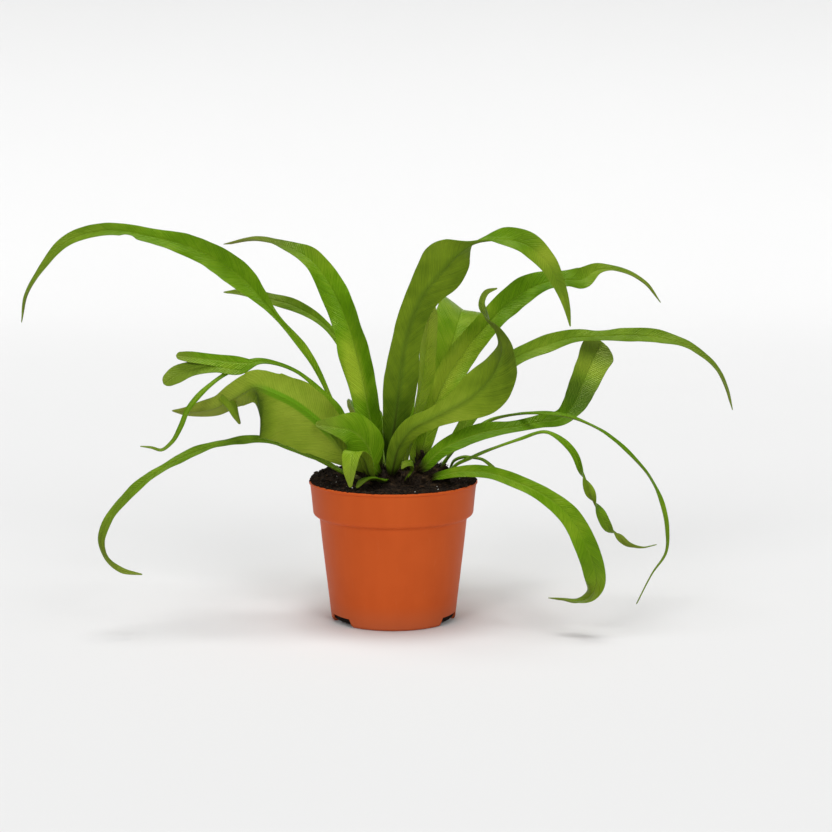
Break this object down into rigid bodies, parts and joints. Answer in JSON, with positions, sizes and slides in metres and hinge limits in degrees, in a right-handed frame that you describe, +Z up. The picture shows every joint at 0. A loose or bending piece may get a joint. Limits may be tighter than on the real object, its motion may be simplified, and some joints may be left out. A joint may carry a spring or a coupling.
{
  "type": "potted fern",
  "caption": "Japanese bird's nest fern with long strap fronds, some forked, twisted or folded, rising from a crown in soil in a round plastic nursery pot.",
  "frame": {"origin": "on the pot's axis at the underside of its base", "axes": "+Z up along the pot's axis, -Y toward the side the plant is shown from, +X to the right seen from there"},
  "size_m": [0.5154, 0.2071, 0.2818],
  "materials": {
    "pot": "smooth semi-matt terracotta-coloured plastic",
    "soil": "dark moist peat soil with pale mineral grains",
    "crown": "dark fibrous rootstock with dead stalk stubs",
    "frond": "smooth, slightly glossy green leaf with a paler, matter underside",
    "dry_frond": "thin, yellowing strand of leaf"
  },
  "bodies": {
    "root": {"pot": "pot", "soil": "soil", "crown": "crown", "frond_far_left": "frond", "frond_upper_left": "frond", "frond_behind_left": "frond", "frond_forked": "frond", "frond_hooded": "frond", "frond_front_left": "frond", "frond_front_drooping": "frond", "frond_front_low": "frond", "frond_low_left": "frond", "frond_tall": "frond", "frond_young": "frond", "frond_back_arching": "frond", "frond_right_back": "frond", "frond_right": "frond", "frond_curled": "frond", "frond_right_turned": "frond", "frond_long_thin": "frond", "frond_twisted": "frond", "frond_low_right": "frond", "frond_dry_strand": "dry_frond", "frond_small": "frond", "frond_back_left": "frond", "frond_back_middle": "frond"}
  },
  "joints": []
}
